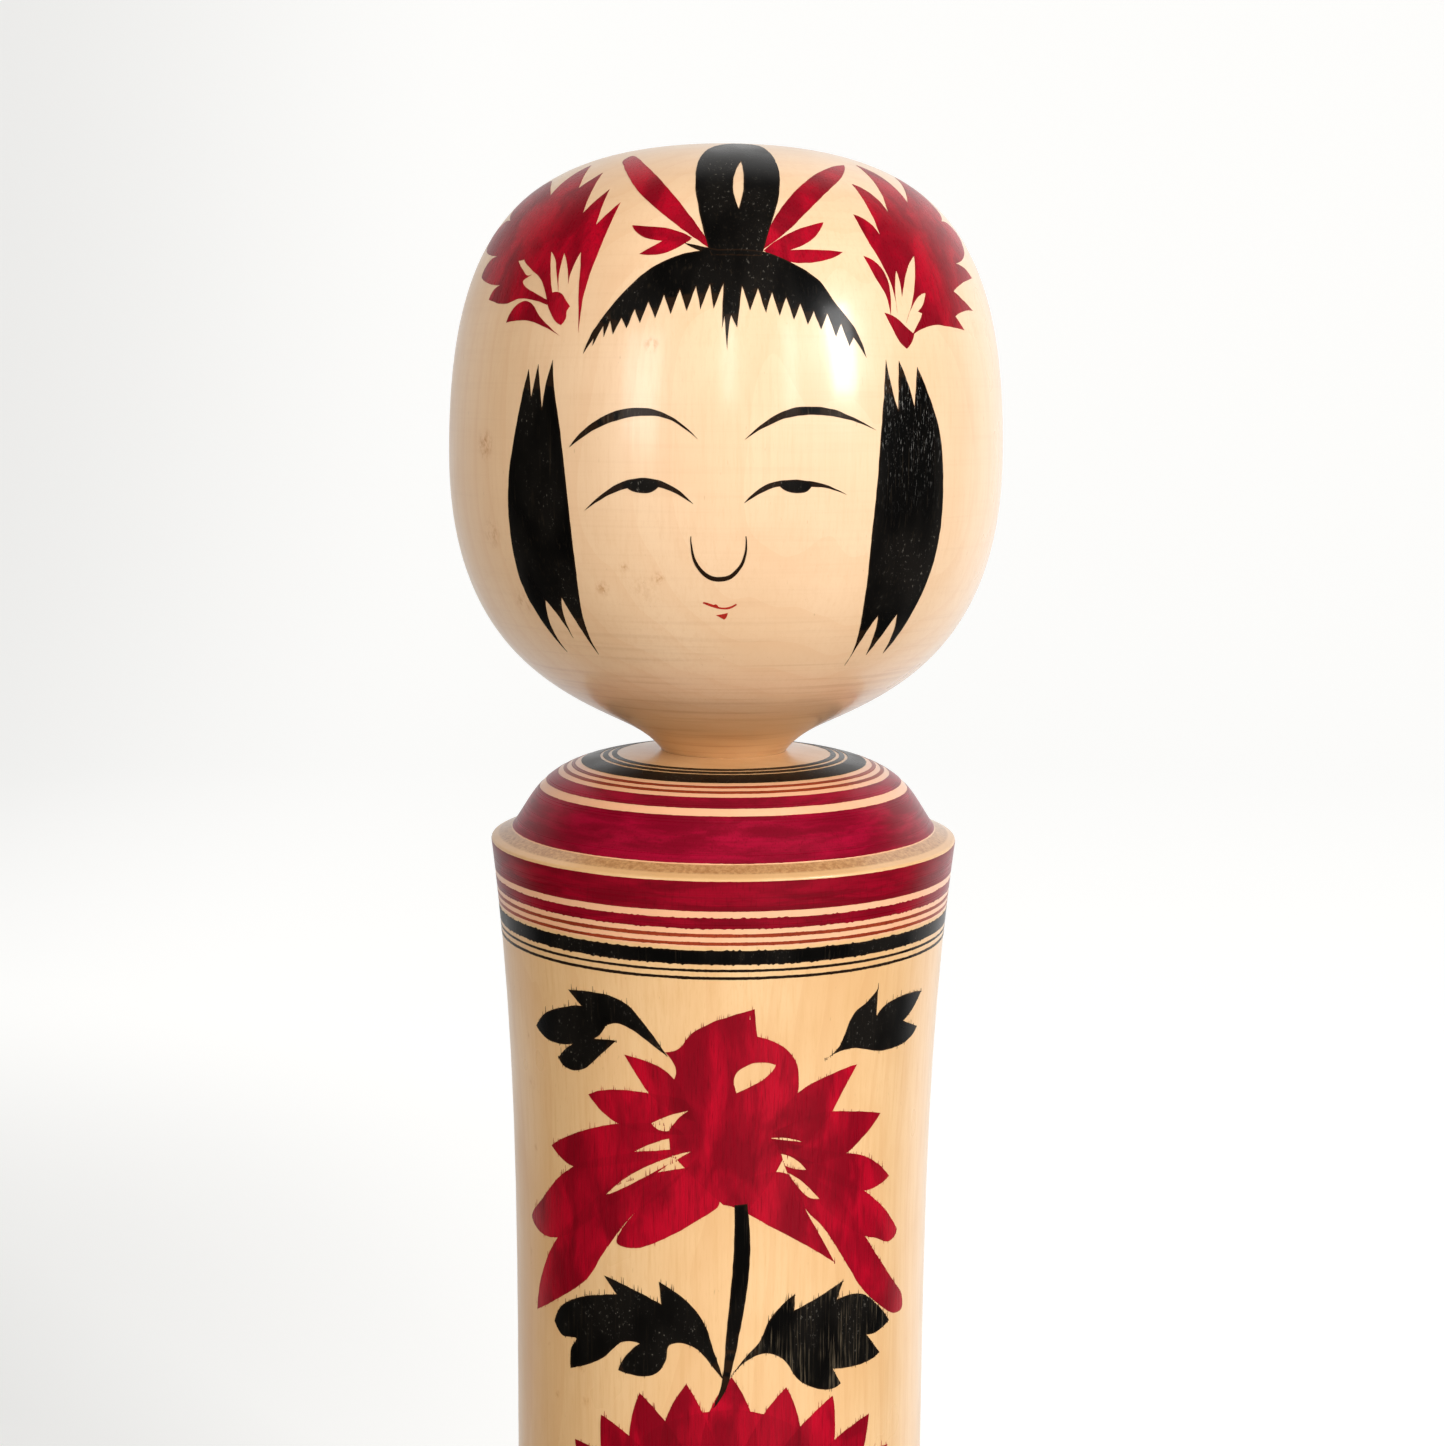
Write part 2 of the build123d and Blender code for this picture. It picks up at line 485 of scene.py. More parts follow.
class Shading:
    """The nodes of a material, or of the world, with a short call for each kind this script uses."""

    def __init__(self, owner, shader="Principled BSDF", coordinates="Object", unit=MM):
        owner.use_nodes = True
        self.tree = owner.node_tree
        self.surface = self.tree.nodes[shader]
        source = self.node("ShaderNodeTexCoord").outputs[coordinates]
        scaled = self.node("ShaderNodeVectorMath", source, operation="SCALE")
        scaled.inputs["Scale"].default_value = 1 / unit
        self.place = scaled.outputs[0]
        split = self.node("ShaderNodeSeparateXYZ", self.place)
        self.x, self.y, self.z = split.outputs

    def node(self, kind, *links, **settings):
        made = self.tree.nodes.new(kind)
        for key, value in settings.items():
            setattr(made, key, value)
        for socket, value in zip(made.inputs, links):
            self.feed(socket, value)
        return made

    def feed(self, socket, value):
        """Links an output to a socket, or sets a plain value on it."""
        if isinstance(value, bpy.types.NodeSocket):
            self.tree.links.new(value, socket)
        elif value is not None:
            socket.default_value = value

    def set(self, **values):
        """Sets or links the surface's own sockets; an underscore stands for a space."""
        for key, value in values.items():
            self.feed(self.surface.inputs[key.replace("_", " ")], value)

    def math(self, operation, a, b=None, clamp=False):
        made = self.node("ShaderNodeMath", a, b, operation=operation)
        made.use_clamp = clamp
        return made.outputs[0]

    def band(self, value, low, high, soft):
        """1 between low and high, falling to 0 over a soft width on each side."""
        rise = self.ramp(value, low - soft, low)
        fall = self.ramp(value, high, high + soft)
        return self.math("SUBTRACT", rise, fall, clamp=True)

    def ramp(self, value, low, high, start=0.0, end=1.0):
        """A smooth step from start to end as the value goes from low to high."""
        made = self.node("ShaderNodeMapRange", value, low, high, start, end)
        made.interpolation_type = "SMOOTHSTEP"
        return made.outputs[0]

    def grain(self, stretch, scale, detail=3.0, rough=0.55, bent=0.0, vector=None):
        """Noise between 0 and 1, stretched by (x, y, z) factors; scale is in cells per millimetre."""
        mapping = self.node("ShaderNodeMapping", vector or self.place)
        mapping.inputs["Scale"].default_value = stretch
        made = self.node("ShaderNodeTexNoise", mapping.outputs[0])
        made.inputs["Scale"].default_value = scale
        made.inputs["Detail"].default_value = detail
        made.inputs["Roughness"].default_value = rough
        made.inputs["Distortion"].default_value = bent
        return made.outputs["Fac"]

    def blend(self, share, a, b, mode="MIX"):
        """Colour a turning into colour b."""
        made = self.node("ShaderNodeMix", data_type="RGBA", blend_type=mode)
        factor, first, second = (made.inputs[k] for k in (0, 6, 7))
        self.feed(factor, share)
        self.feed(first, a)
        self.feed(second, b)
        return made.outputs[2]

    def attribute(self, name):
        return self.node("ShaderNodeAttribute", attribute_name=name).outputs["Fac"]

    def bump(self, height, strength, distance):
        made = self.node("ShaderNodeBump")
        made.inputs["Strength"].default_value = strength
        made.inputs["Distance"].default_value = distance * MM
        self.feed(made.inputs["Height"], height)
        self.feed(self.surface.inputs["Normal"], made.outputs[0])

    def distance_to(self, point, stretch=(1, 1, 1)):
        """Distance in millimetres from a point, with each direction stretched by a factor."""
        offset = self.node("ShaderNodeVectorMath", self.place, point, operation="SUBTRACT")
        scaled = self.node("ShaderNodeVectorMath", offset.outputs[0], stretch, operation="MULTIPLY")
        return self.node("ShaderNodeVectorMath", scaled.outputs[0], operation="LENGTH").outputs["Value"]


def new_material(name):
    """A new material and its nodes."""
    material = bpy.data.materials.new(name)
    return material, Shading(material)


def rgb(red, green, blue):
    """A linear colour with full alpha."""
    return (red, green, blue, 1.0)


def wood_shading(name, pale, deep, pith):
    """Close-grained wood: growth rings about a pith that lies off the axis, fibres and age."""
    material, wood = new_material(name)
    wander = wood.grain((1, 1, 0.25), 0.05, detail=2.0)
    from_pith = wood.distance_to((*pith, 0), (1, 1, 0))
    drifted = wood.math("ADD", from_pith, wood.math("MULTIPLY", wander, 9.0))
    wave = wood.math("FRACT", wood.math("DIVIDE", drifted, 3.4))
    late_growth = wood.ramp(wave, 0.55, 0.98)
    fibres = wood.grain((1, 1, 0.035), 1.5, detail=4.0, rough=0.65)
    hairs = wood.grain((1, 1, 0.06), 5.5, detail=2.0, rough=0.6)
    clouds = wood.grain((1, 1, 0.7), 0.045, detail=3.0)
    flecks = wood.grain((1, 1, 0.22), 2.6, detail=1.0)

    tone = wood.blend(wood.ramp(clouds, 0.32, 0.76, 0.0, 0.65), pale, deep)
    tone = wood.blend(wood.math("MULTIPLY", late_growth, 0.10), tone, deep, "MULTIPLY")
    tone = wood.blend(wood.ramp(fibres, 0.42, 0.75, 0.0, 0.42), tone, deep)
    tone = wood.blend(wood.ramp(hairs, 0.54, 0.74, 0.0, 0.34), tone, deep)
    brown = rgb(0.33, 0.15, 0.05)
    tone = wood.blend(wood.ramp(flecks, 0.74, 0.86, 0.0, 0.35), tone, brown)

    relief = wood.math("ADD", wood.math("MULTIPLY", fibres, 0.6), wood.math("MULTIPLY", hairs, 0.4))
    wood.bump(relief, 0.35, 0.05)
    gloss = wood.ramp(clouds, 0.3, 0.7, 0.27, 0.36)
    wood.set(Roughness=gloss, Specular_IOR_Level=0.42, Coat_Weight=0.38, Coat_Roughness=0.13)
    return material, wood, tone


def stained(wood, tone, lay, stains):
    """Adds small brown stains: (place in the flat drawing, radius, strength)."""
    patchy = wood.grain((1, 1, 0.6), 1.1, detail=4.0, rough=0.7)
    for spot, radius, strength in stains:
        places, _ = lay(np.array([spot]), 0)
        near = wood.ramp(wood.distance_to(places[0]), 0.0, radius, 1.0, 0.0)
        share = wood.math("MULTIPLY", near, wood.ramp(patchy, 0.40, 0.66, 0.0, strength))
        tone = wood.blend(share, tone, rgb(0.50, 0.20, 0.055))
    return tone


def head_wood():
    """The head: creamy, a little pink, browner under the chin: end grain tone and painted shade."""
    pale, deep = rgb(0.88, 0.615, 0.385), rgb(0.79, 0.50, 0.28)
    material, wood, tone = wood_shading("head_wood", pale, deep, pith=(-31, 74))
    # Browner below the chin: partly the end grain's own colour, partly painted shade under the jaw.
    under = wood.ramp(wood.z, chin_height - 3, chin_height + 12, 0.75, 0.0)
    tone = wood.blend(under, tone, rgb(0.48, 0.25, 0.085))
    tool_marks = wood.ramp(wood.grain((0.02, 0.02, 1), 1.6, detail=2.0), 0.48, 0.75)
    deepest = wood.ramp(wood.z, chin_height - 2, chin_height + 26, 0.34, 0.05)
    share = wood.math("MULTIPLY", tool_marks, deepest)
    tone = wood.blend(share, tone, rgb(0.50, 0.26, 0.11), "MULTIPLY")
    stains = (
        ((-11, 17.5), 1.6, 0.7),
        ((-12.5, -19), 3.6, 0.25),
        ((-15.6, -15.8), 1.2, 0.75),
        ((-10.2, -17.1), 1.4, 0.85),
        ((-19.3, -19.5), 1.8, 0.7),
        ((-44, 3), 3.2, 0.9),
        ((-42.5, -13), 3.4, 0.6),
        ((-36, -25), 3.0, 0.5),
        ((13, 60), 4.0, 0.45),
    )
    wood.set(Base_Color=stained(wood, tone, on_head, stains))
    return material


def body_wood():
    """The body: more golden, dye haze between the thin lines, a raw browned ledge, painted shade at the
    dome's foot.
    """
    pale, deep = rgb(0.83, 0.54, 0.275), rgb(0.70, 0.39, 0.155)
    material, wood, tone = wood_shading("body_wood", pale, deep, pith=(46, 82))
    radius = wood.distance_to((0, 0, 0), (1, 1, 0))
    side_haze = wood.band(wood.z, 177.9, 187.5, 0.3)
    above_ledge = wood.ramp(wood.z, ledge_inner_height - 0.3, ledge_inner_height + 0.3)
    outside_black = wood.ramp(radius, 24.0, 24.6)
    dome_haze = wood.math("MULTIPLY", above_ledge, outside_black)
    pink = wood.math("MULTIPLY", wood.math("MAXIMUM", side_haze, dome_haze), 0.55)
    tone = wood.blend(pink, tone, rgb(0.95, 0.46, 0.30))

    fuzz = wood.grain((1, 1, 1), 1.4, detail=4.0, rough=0.7)
    # A dark brown band on the ledge at the foot of the dome: fuzzy raw wood, and painted shade in the
    # corner where the dome rises.
    dome_foot_width = 2.0
    ledge = wood.band(wood.z, rim_height - 0.15, ledge_inner_height - 0.1, 0.12)
    near_dome = wood.band(radius, ledge_inner_radius, ledge_inner_radius + dome_foot_width, 0.45)
    dome_foot_shade_and_fuzz = wood.math("MULTIPLY", ledge, near_dome)
    brown = wood.math("MULTIPLY", dome_foot_shade_and_fuzz, wood.ramp(fuzz, 0.3, 0.7, 0.30, 1.0))
    tone = wood.blend(wood.math("MULTIPLY", ledge, 0.45), tone, rgb(0.70, 0.40, 0.17))
    tone = wood.blend(brown, tone, rgb(0.40, 0.18, 0.06))

    stains = (
        ((-37.5, 150), 1.5, 0.8),
        ((-38, 158), 0.8, 0.8),
        ((-25, 104.5), 1.2, 0.6),
        ((-24, 99), 1.4, 0.5),
        ((-31, 98), 1.0, 0.5),
        ((-40, 120), 1.3, 0.4),
        ((-37.0, 139), 0.9, 0.6),
        ((-37.8, 112), 0.8, 0.7),
        ((-33.5, 106), 0.7, 0.6),
    )
    wood.set(Base_Color=stained(wood, tone, on_body, stains))
    return material


def red_dye(name, deep, bright, around=False):
    """Crimson dye that soaks into the wood: fibres and brush streaks show through it."""
    material, dye = new_material(name)
    if around:
        radius = dye.distance_to((0, 0, 0), (1, 1, 0))
        profile = dye.node("ShaderNodeCombineXYZ", radius, 0.0, dye.z).outputs[0]
        streaks = dye.grain((1, 1, 1), 2.4, detail=3.0, vector=profile)
        clouds = dye.grain((0.3, 0.3, 1.6), 0.30, detail=4.0, rough=0.6, bent=0.4)
    else:
        streaks = dye.grain((1, 1, 0.05), 1.9, detail=3.0, rough=0.6)
        clouds = dye.grain((1, 1, 0.45), 0.16, detail=3.0, bent=0.6)
    fibres = dye.grain((1, 1, 0.05), 4.5, detail=2.0)
    coats = dye.attribute("coats")
    pooled = dye.ramp(dye.attribute("from_edge"), 0.0, 0.55, 1.0, 0.0)

    tone = dye.blend(dye.ramp(clouds, 0.36, 0.66), deep, bright)
    tone = dye.blend(dye.ramp(streaks, 0.42, 0.78, 0.0, 0.55), tone, deep)
    tone = dye.blend(dye.ramp(fibres, 0.50, 0.75, 0.0, 0.45), tone, rgb(0.10, 0.001, 0.004))
    tone = dye.blend(dye.ramp(coats, 1.0, 3.5, 0.0, 0.55), tone, rgb(0.13, 0.001, 0.005))
    tone = dye.blend(dye.math("MULTIPLY", pooled, 0.12), tone, rgb(0.14, 0.001, 0.005))
    dye.bump(fibres, 0.25, 0.03)
    gloss = dye.ramp(streaks, 0.3, 0.8, 0.26, 0.36)
    dye.set(Base_Color=tone, Roughness=gloss, Specular_IOR_Level=0.11)
    dye.set(Coat_Weight=0.11, Coat_Roughness=0.15)
    return material


def black_ink(name, dryness=0.0, scratch_wear_and_glint=0.0):
    """Black ink, a little worn: specks, brown thin edges, and bare streaks where it ran dry."""
    material, ink = new_material(name)
    fibres = ink.grain((1, 1, 0.04), 2.8, detail=3.0, rough=0.6)
    specks = ink.grain((1, 1, 0.6), 2.2, detail=3.0, rough=0.75)
    clouds = ink.grain((1, 1, 0.5), 0.12, detail=2.0)
    thin = ink.ramp(ink.attribute("from_edge"), 0.0, 0.35, 1.0, 0.0)

    black, soot = rgb(0.0022, 0.0020, 0.0018), rgb(0.0075, 0.0062, 0.0050)
    tone = ink.blend(ink.ramp(clouds, 0.35, 0.7), black, soot)
    tone = ink.blend(ink.ramp(fibres, 0.55, 0.80, 0.0, 0.5), tone, rgb(0.030, 0.022, 0.014))
    worn = ink.math("MULTIPLY", ink.ramp(specks, 0.61, 0.70), ink.ramp(clouds, 0.46, 0.60))
    tone = ink.blend(ink.math("MULTIPLY", worn, 0.75), tone, rgb(0.16, 0.145, 0.12))
    tone = ink.blend(ink.math("MULTIPLY", thin, 0.35), tone, rgb(0.045, 0.020, 0.008))
    # Pale grey scratches on the upper part only: real scratches in the ink, painted pale as glints of
    # the window light.
    if scratch_wear_and_glint:
        scratches = ink.grain((2.2, 1, 0.30), 2.6, detail=3.0, rough=0.7)
        upper = ink.ramp(ink.z, 242.0, 266.0)
        scratch_glints = ink.math("MULTIPLY", ink.ramp(scratches, 0.58, 0.69), upper)
        tone = ink.blend(ink.math("MULTIPLY", scratch_glints, scratch_wear_and_glint * 0.75), tone, rgb(0.26, 0.25, 0.23))
    if dryness:
        gaps = ink.ramp(fibres, 0.60 - dryness * 0.2, 0.72 - dryness * 0.1)
        patch = ink.ramp(ink.grain((1, 1, 0.6), 0.22, detail=2.0), 0.38, 0.62)
        share = ink.math("MULTIPLY", gaps, ink.math("MULTIPLY", patch, dryness))
        tone = ink.blend(share, tone, rgb(0.15, 0.115, 0.072))
    ink.bump(fibres, 0.25, 0.03)
    gloss = ink.ramp(clouds, 0.3, 0.7, 0.24, 0.38)
    ink.set(Base_Color=tone, Roughness=gloss, Specular_IOR_Level=0.07)
    ink.set(Coat_Weight=0.11, Coat_Roughness=0.12)
    return material


def dyed(material):
    return (material, "red_dye", dye_lift)


def inked(material):
    return (material, "black_ink", ink_lift)


crimson = dyed(red_dye("crimson_dye", rgb(0.22, 0.0012, 0.009), rgb(0.45, 0.0018, 0.017)))
band_red = dyed(red_dye("band_red", rgb(0.17, 0.0010, 0.008), rgb(0.30, 0.0015, 0.015), around=True))
dome_red = dyed(red_dye("dome_red", rgb(0.19, 0.0014, 0.013), rgb(0.35, 0.0026, 0.028), around=True))
line_red = dyed(red_dye("line_red", rgb(0.26, 0.035, 0.012), rgb(0.36, 0.055, 0.018), around=True))
lip_red = dyed(red_dye("lip_red", rgb(0.40, 0.020, 0.012), rgb(0.50, 0.030, 0.018)))
ink = inked(black_ink("black_ink"))
dry_ink = inked(black_ink("dry_black_ink", dryness=0.5))
# Ink for the right lock: real scratches, painted pale on its upper part as glints of the light on that
# side.
scratched_glinting_ink = inked(black_ink("scratched_glinting_black_ink", scratch_wear_and_glint=1.0))
brow_ink = inked(black_ink("brow_ink", dryness=0.35))


# ------------------------------------------------------------------ painting on the head


def paint_bangs():
    """The parted bangs: a smooth cap above, a comb of spikes below, one long lock in the middle."""
    middle = -0.4
    tip_droop, notch_droop = 0.0115, 0.018  # how fast the comb falls away from the middle
    spikes = [[(-20.1, 18.9)], [(-20.3, 17.8)], [(-18.4, 20.6)], [(-18.4, 18.9)], [(-17.3, 21.3)]]
    for across in (-16.9, -14.8, -12.7, -10.4, -8.1, -5.8, -3.8, -1.9):
        spikes.append([(across, 22.3 - tip_droop * (across - middle) ** 2)])
        spikes.append([(across + 1.35, 25.7 - notch_droop * (across + 1.2 - middle) ** 2)])
    spikes += [[(-0.7, 19.6)], [(-0.35, 21.3), (-0.2, 19.4)], [(0.1, 16.6), (0.3, 19.6)], [(0.6, 21.4)]]
    spikes.append([(1.5, 19.7)])
    for across in (3.3, 5.6, 7.6, 9.7, 11.8, 13.8):
        spikes.append([(across - 1.2, 25.5 - notch_droop * (across - 1.1 - middle) ** 2)])
        spikes.append([(across, 22.2 - tip_droop * (across - middle) ** 2)])
    spikes += [[(14.7, 22.2)], [(16.2, 19.0)], [(16.9, 21.0)], [(18.4, 17.8)], [(19.0, 19.2)]]
    crown = [(21.3, 16.4), (19.2, 20.4), (16.1, 23.6), (13.2, 26.8), (8.9, 29.0), (4.7, 30.3)]
    crown += [(-2.1, 30.4), (-6.7, 29.8), (-11.0, 28.1), (-15.4, 24.8), (-18.9, 21.3), (-20.5, 19.4)]
    left_tip = [(-21.9, 16.7)]
    cap = shape(crown, left_tip, *spikes)
    wisp = brush((-6.1, 31.5, 0.0), (-4.7, 30.9, 0.5), (-1.5, 30.0, 0.9))
    painted("bangs", "head", ink, [cap, wisp], seed=3)


def paint_topknot():
    """The looped topknot, with the bare slit inside its loop."""
    loop = shape(
        [(-2.3, 29.6), (-3.6, 34.0), (-4.8, 41.2), (-4.6, 48.1), (-2.7, 54.8), (1.0, 59.2), (4.8, 58.2),
         (7.1, 51.5), (7.9, 44.2), (7.4, 38.6), (6.0, 33.6)],
        [(4.9, 29.6)],
    )
    slit = shape([(1.6, 36.7), (0.8, 40.3), (1.0, 43.6)], [(2.1, 47.6), (2.4, 43.6), (2.3, 40.2)])
    painted("topknot", "head", ink, [loop], bare=[slit], seed=5)


def paint_ribbons():
    """The red ribbons beside the topknot: one long and two short on each side."""
    strokes = [
        shape(
            [(-1.6, 30.0), (-4.7, 34.6), (-9.4, 41.6), (-13.2, 47.6), (-16.9, 53.3), (-18.0, 51.6),
             (-17.2, 48.6), (-13.9, 41.5), (-9.0, 35.8)],
        ),
        shape([(-5.0, 32.2), (-7.9, 33.6), (-11.0, 34.3)], [(-14.0, 34.8), (-12.2, 32.8), (-7.8, 31.8)]),
        shape([(-5.2, 32.0), (-7.8, 32.4), (-10.5, 31.4)], [(-12.7, 30.3), (-9.4, 30.1), (-6.8, 31.0)]),
        shape(
            [(4.6, 30.2), (7.1, 36.0), (12.3, 43.5), (17.0, 48.6)],
            [(20.0, 50.9), (18.5, 46.2), (13.6, 39.4), (8.9, 33.8)],
        ),
        shape([(5.2, 30.4), (8.9, 33.2)], [(14.1, 35.5), (12.1, 32.4), (8.3, 30.5)]),
        shape([(5.2, 30.4), (8.9, 30.7), (13.0, 31.1)], [(17.0, 31.3), (14.3, 29.7), (8.9, 29.0)]),
    ]
    painted("hair_ribbons", "head", crimson, strokes, seed=7)


def paint_left_ornament():
    """The red flower at the left temple: a fan of petals over a bud and its leaf."""
    fan = shape(
        [(-22.6, 19.9), (-21.9, 24.0), (-20.8, 27.6), (-18.7, 32.5)], [(-16.2, 39.2)], [(-19.9, 35.8)],
        [(-18.5, 42.4)], [(-22.5, 38.5)], [(-20.8, 47.7)], [(-24.5, 44.6)],
        [(-24.8, 53.2), (-28.0, 50.0)], [(-30.5, 45.4)], [(-33.6, 53.0), (-39.0, 53.0), (-42.4, 49.0)],
        [(-38.8, 42.4), (-43.0, 45.6), (-48.0, 45.4), (-48.0, 41.5)],
        [(-39.9, 35.8), (-44.2, 36.6), (-46.5, 34.5), (-43.9, 32.2)], [(-39.3, 30.2), (-41.2, 29.9)],
        [(-42.6, 28.6), (-37.7, 26.6), (-34.2, 26.7), (-31.1, 25.9)], [(-28.3, 24.7)], [(-27.2, 25.4)],
        [(-27.3, 26.5), (-27.65, 29.5)], [(-27.7, 33.0), (-26.9, 31.7), (-26.5, 29.5)],
        [(-26.1, 26.4), (-25.95, 29.5)], [(-25.2, 32.2), (-24.6, 30.6)],
        [(-24.3, 27.3), (-23.95, 28.7), (-23.2, 30.3)], [(-22.2, 31.8), (-22.2, 29.5), (-22.4, 26.8)],
    )
    slit = shape(
        [(-33.5, 33.1), (-32.9, 32.2), (-31.7, 31.0), (-29.5, 28.8), (-28.8, 27.3)],
        [(-28.3, 25.5), (-30.7, 26.9), (-32.9, 28.4), (-33.5, 29.4), (-32.6, 29.8)],
        [(-31.6, 30.1), (-32.6, 30.2), (-33.5, 31.2)], [(-34.9, 33.3)],
    )
    bud = shape(
        [(-28.1, 26.2), (-27.4, 26.4), (-26.1, 26.3), (-25.4, 25.9), (-24.8, 25.0)],
        [(-24.0, 23.9), (-24.6, 23.2), (-24.8, 22.2)],
        [(-25.7, 21.3), (-26.7, 22.0), (-27.6, 23.3), (-28.2, 24.9)],
    )
    leaf = shape(
        [(-37.4, 23.4), (-35.5, 25.4), (-32.9, 26.1), (-31.3, 25.3), (-29.7, 23.1)],
        [(-26.0, 19.7), (-29.1, 21.5), (-32.6, 22.9)],
    )
    painted("left_hair_flower", "head", crimson, [fan, bud, leaf], bare=[slit], seed=11)


def paint_right_ornament():
    """The red flower at the right temple, which leans the other way."""
    fan = shape(
        [(23.0, 52.8), (27.0, 50.4)], [(30.7, 44.2), (31.8, 48.5)],
        [(32.6, 55.0), (38.0, 52.0), (40.6, 47.0)],
        [(37.8, 42.5), (41.5, 45.2), (45.6, 44.8), (45.4, 40.0)], [(40.7, 35.3), (43.8, 35.6)],
        [(46.4, 34.7), (41.6, 31.7)], [(39.2, 29.7)], [(45.3, 27.9), (42.0, 26.9)], [(39.5, 25.4)],
        [(42.2, 23.6), (37.9, 23.3), (33.9, 22.8)], [(29.4, 20.5), (30.8, 22.8)], [(31.4, 24.2)],
        [(30.5, 24.4), (31.6, 25.8)], [(32.1, 27.6), (30.9, 27.0), (29.5, 25.2)],
        [(28.2, 22.3), (29.6, 27.0)], [(29.9, 33.2), (28.6, 31.2)], [(27.3, 26.1), (26.8, 28.6)],
        [(26.2, 30.0), (26.0, 27.0)], [(26.5, 23.6), (25.4, 27.4), (23.6, 30.5), (21.3, 33.7)],
        [(19.1, 37.8), (21.6, 37.0)], [(23.5, 35.1), (22.4, 38.4)], [(19.9, 44.6), (23.0, 43.2)],
        [(25.6, 40.0), (25.0, 45.5)],
    )
    bud = shape(
        [(29.9, 20.8), (29.3, 19.2)], [(28.5, 18.4), (26.8, 19.6), (25.3, 21.6)],
        [(24.1, 23.3), (26.5, 22.7), (28.4, 21.6)],
    )
    leaf = shape([(20.4, 31.2), (23.1, 30.2), (24.6, 28.2)], [(25.3, 23.0), (24.3, 25.9), (22.4, 28.3)])
    painted("right_hair_flower", "head", crimson, [fan, bud, leaf], seed=13)


def paint_side_locks():
    """The long black locks beside the cheeks, split into spikes at both ends."""
    left = shape(
        [(-32.3, 15.2)], [(-32.0, 10.7)], [(-30.3, 15.8)], [(-29.9, 8.7), (-28.9, 12.6)],
        [(-27.4, 16.2), (-27.4, 12.8), (-25.9, 1.1), (-24.1, -14.7), (-23.2, -25.3), (-22.5, -28.6)],
        [(-21.3, -32.2), (-23.8, -27.6)], [(-27.0, -22.1), (-27.0, -25.3)],
        [(-25.7, -29.7), (-27.6, -26.4)], [(-30.4, -23.2), (-30.5, -25.6), (-29.8, -29.2)],
        [(-27.7, -33.3), (-32.2, -27.3), (-35.7, -20.8), (-37.6, -10.2), (-37.4, -2.0), (-35.5, 6.1),
         (-33.9, 11.2)],
    )
    right = shape(
        [(24.7, 16.4), (24.6, 10.2), (24.0, -1.1), (23.1, -11.2), (22.4, -22.5), (21.7, -30.4)],
        [(20.5, -34.2), (23.5, -27.5)], [(25.3, -24.8), (25.3, -27.0)], [(24.3, -32.6), (27.6, -27.5)],
        [(29.2, -25.2), (29.2, -27.8)],
        [(27.9, -33.2), (32.8, -25.2), (36.4, -16.0), (37.6, -6.0), (36.6, 4.8), (34.6, 9.6)],
        [(30.8, 15.8)], [(30.6, 9.5), (29.2, 12.8)], [(27.1, 16.4)], [(27.4, 8.8), (26.1, 11.9)],
    )
    painted("left_lock", "head", ink, [left], seed=17)
    painted("right_lock", "head", scratched_glinting_ink, [right], seed=19)


def paint_face():
    """Brows, narrow eyes under a single lash line, a U-shaped nose and a small mouth."""
    brows = [
        brush(
            (-24.8, 2.6, 0.0), (-22.4, 4.6, 0.8), (-19.3, 6.4, 1.15), (-16.2, 7.5, 1.4),
            (-13.5, 7.9, 1.3), (-10.9, 7.8, 0.95), (-8.2, 6.95, 0.5), (-6.0, 5.5, 0.28),
            (-4.2, 3.9, 0.0),
        ),
        brush(
            (2.7, 3.8, 0.0), (5.0, 5.6, 0.5), (7.8, 7.25, 1.0), (10.2, 8.0, 1.25), (12.9, 8.25, 1.2),
            (15.9, 8.05, 1.05), (18.7, 7.4, 0.6), (21.2, 6.5, 0.3), (23.5, 5.6, 0.0),
        ),
    ]
    eyes = [
        brush(
            (-22.1, -7.2, 0.0), (-19.2, -5.0, 0.6), (-16.6, -3.5, 1.0), (-14.2, -2.7, 1.2),
            (-12.2, -2.45, 1.1), (-9.7, -2.8, 1.0), (-7.6, -3.7, 0.7), (-6.0, -4.7, 0.4),
            (-4.8, -5.7, 0.0),
        ),
        shape(
            [(-15.3, -3.2), (-14.1, -3.95), (-12.6, -4.2), (-11.2, -4.0)],
            [(-10.0, -3.1), (-12.5, -2.3)],
        ),
        brush(
            (2.7, -5.5, 0.0), (4.6, -4.0, 0.6), (6.5, -2.95, 0.8), (8.4, -2.5, 0.85), (10.5, -2.45, 0.9),
            (12.8, -2.65, 0.85), (15.0, -3.0, 0.5), (16.8, -3.6, 0.25), (18.7, -4.4, 0.0),
        ),
        shape([(8.0, -2.9), (9.1, -3.75), (10.5, -4.0), (12.0, -3.85)], [(13.0, -3.0), (10.5, -2.3)]),
    ]
    nose = brush(
        (-5.15, -10.5, 0.1), (-4.9, -13.1, 0.35), (-3.95, -15.3, 0.55), (-2.55, -16.6, 0.65),
        (-0.95, -17.0, 0.72), (0.75, -16.6, 0.68), (2.1, -15.2, 0.5), (2.95, -13.3, 0.36),
        (3.05, -10.4, 0.12),
    )
    upper_lip = brush(
        (-3.35, -20.7, 0.25), (-2.0, -21.15, 0.4), (-0.6, -21.6, 0.26), (0.6, -21.5, 0.34),
        (1.7, -20.9, 0.25),
    )
    lip_bow = shape([(-1.9, -21.2), (-1.35, -20.95)], [(-0.9, -21.5)])
    lower_lip = shape([(-1.35, -22.75), (-0.4, -22.6)], [(0.45, -22.35), (0.25, -23.1)], [(-0.1, -23.5)])
    painted("brows", "head", brow_ink, brows, seed=23)
    painted("eyes", "head", ink, eyes, seed=29)
    painted("nose", "head", ink, [nose], seed=31)
    painted("mouth", "head", lip_red, [upper_lip, lip_bow, lower_lip], seed=37)


# ------------------------------------------------------------------ painting on the body


